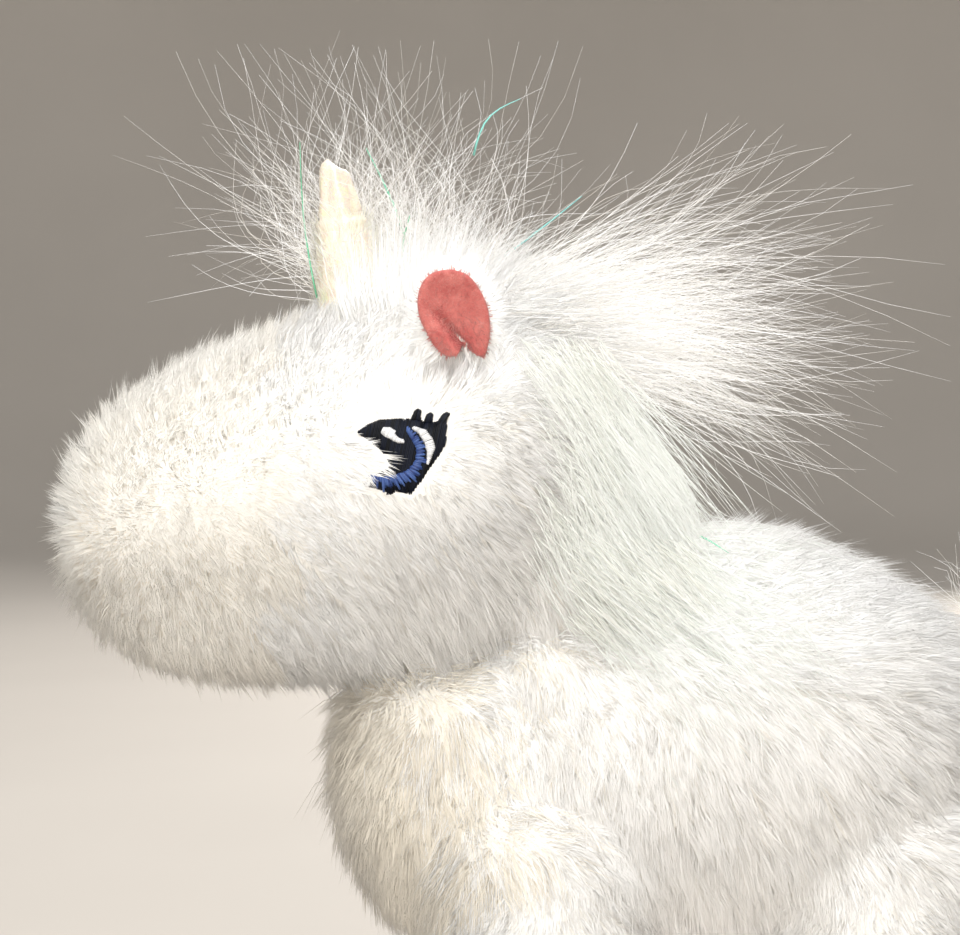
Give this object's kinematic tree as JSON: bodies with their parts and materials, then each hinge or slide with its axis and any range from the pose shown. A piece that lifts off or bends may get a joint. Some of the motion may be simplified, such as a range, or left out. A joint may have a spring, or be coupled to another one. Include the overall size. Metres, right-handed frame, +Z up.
{
  "type": "plush unicorn",
  "caption": "Standing plush unicorn foal with a shiny cloth horn, lined ears, embroidered eyes, long fibre mane, forelock and tail, and cloth hooves.",
  "frame": {"origin": "on the floor, under the middle of the whole toy's box", "axes": "+Z up; the nose points to -X and the tail to +X; the animal's left is -Y"},
  "size_m": [0.1831, 0.0702, 0.192],
  "materials": {
    "plush": "matte",
    "filling": "matte",
    "pouch_cloth": "matte",
    "pellets": "satin",
    "long_fibre": "satin",
    "horn_cloth": "satin",
    "pink_felt": "matte",
    "thread_dark": "satin",
    "thread_blue": "satin",
    "thread_white": "satin"
  },
  "bodies": {
    "torso": {"torso_panel_left": "plush", "torso_panel_right": "plush", "crest_strip": "plush", "belly_gusset": "plush", "chest_gusset": "plush", "torso_stuffing": "filling", "pellet_pouch": "pouch_cloth", "pellets": "pellets", "mane_lower_fibres": "long_fibre"},
    "neck": {"neck_cover": "plush", "neck_stuffing": "filling"},
    "head": {"head_panel_left": "plush", "head_panel_right": "plush", "head_gusset": "plush", "chin_panel": "plush", "head_stuffing": "filling", "horn_cover": "horn_cloth", "horn_stuffing": "filling", "forelock_fibres": "long_fibre", "mane_upper_fibres": "long_fibre", "eye_dark_left": "thread_dark", "eye_blue_left": "thread_blue", "eye_white_left": "thread_white", "eye_dark_right": "thread_dark", "eye_blue_right": "thread_blue", "eye_white_right": "thread_white"},
    "ear_left": {"ear_back_left": "plush", "ear_lining_left": "pink_felt"},
    "ear_right": {"ear_back_right": "plush", "ear_lining_right": "pink_felt"},
    "tail": {"tail_dock": "plush", "tail_fibres": "long_fibre"},
    "leg_fore_left": {"leg_plush_fore_left": "plush", "leg_stuffing_fore_left": "filling", "hoof_wall_fore_left": "pink_felt", "hoof_sole_fore_left": "pink_felt"},
    "leg_fore_right": {"leg_plush_fore_right": "plush", "leg_stuffing_fore_right": "filling", "hoof_wall_fore_right": "pink_felt", "hoof_sole_fore_right": "pink_felt"},
    "leg_hind_left": {"leg_plush_hind_left": "plush", "leg_stuffing_hind_left": "filling", "hoof_wall_hind_left": "pink_felt", "hoof_sole_hind_left": "pink_felt"},
    "leg_hind_right": {"leg_plush_hind_right": "plush", "leg_stuffing_hind_right": "filling", "hoof_wall_hind_right": "pink_felt", "hoof_sole_hind_right": "pink_felt"}
  },
  "joints": [
    {"name": "head_turn", "type": "hinge", "parent": "torso", "child": "neck", "pos_m": [-0.0135, 0, 0.118], "axis": [0, 0, 1], "range_deg": [-15, 15], "stiffness_Nm_per_rad": 0.12},
    {"name": "head_nod", "type": "hinge", "parent": "neck", "child": "head", "pos_m": [-0.0135, 0, 0.118], "axis": [0, 1, 0], "range_deg": [-6, 20], "stiffness_Nm_per_rad": 0.2},
    {"name": "ear_flop_left", "type": "hinge", "parent": "head", "child": "ear_left", "pos_m": [-0.029, -0.022, 0.149], "axis": [1, 0, 0], "range_deg": [-12, 35], "stiffness_Nm_per_rad": 0.0012},
    {"name": "ear_flop_right", "type": "hinge", "parent": "head", "child": "ear_right", "pos_m": [-0.029, 0.022, 0.149], "axis": [-1, 0, 0], "range_deg": [-12, 35], "stiffness_Nm_per_rad": 0.0012},
    {"name": "tail_lift", "type": "hinge", "parent": "torso", "child": "tail", "pos_m": [0.0596, 0, 0.096], "axis": [0, 1, 0], "range_deg": [-20, 12], "stiffness_Nm_per_rad": 0.02},
    {"name": "leg_swing_fore_left", "type": "hinge", "parent": "torso", "child": "leg_fore_left", "pos_m": [-0.0135, -0.0185, 0.057], "axis": [0, 1, 0], "range_deg": [-8, 25], "stiffness_Nm_per_rad": 0.25},
    {"name": "leg_swing_fore_right", "type": "hinge", "parent": "torso", "child": "leg_fore_right", "pos_m": [-0.0135, 0.0185, 0.057], "axis": [0, 1, 0], "range_deg": [-8, 25], "stiffness_Nm_per_rad": 0.25},
    {"name": "leg_swing_hind_left", "type": "hinge", "parent": "torso", "child": "leg_hind_left", "pos_m": [0.0385, -0.0185, 0.057], "axis": [0, 1, 0], "range_deg": [-25, 8], "stiffness_Nm_per_rad": 0.25},
    {"name": "leg_swing_hind_right", "type": "hinge", "parent": "torso", "child": "leg_hind_right", "pos_m": [0.0385, 0.0185, 0.057], "axis": [0, 1, 0], "range_deg": [-25, 8], "stiffness_Nm_per_rad": 0.25}
  ]
}
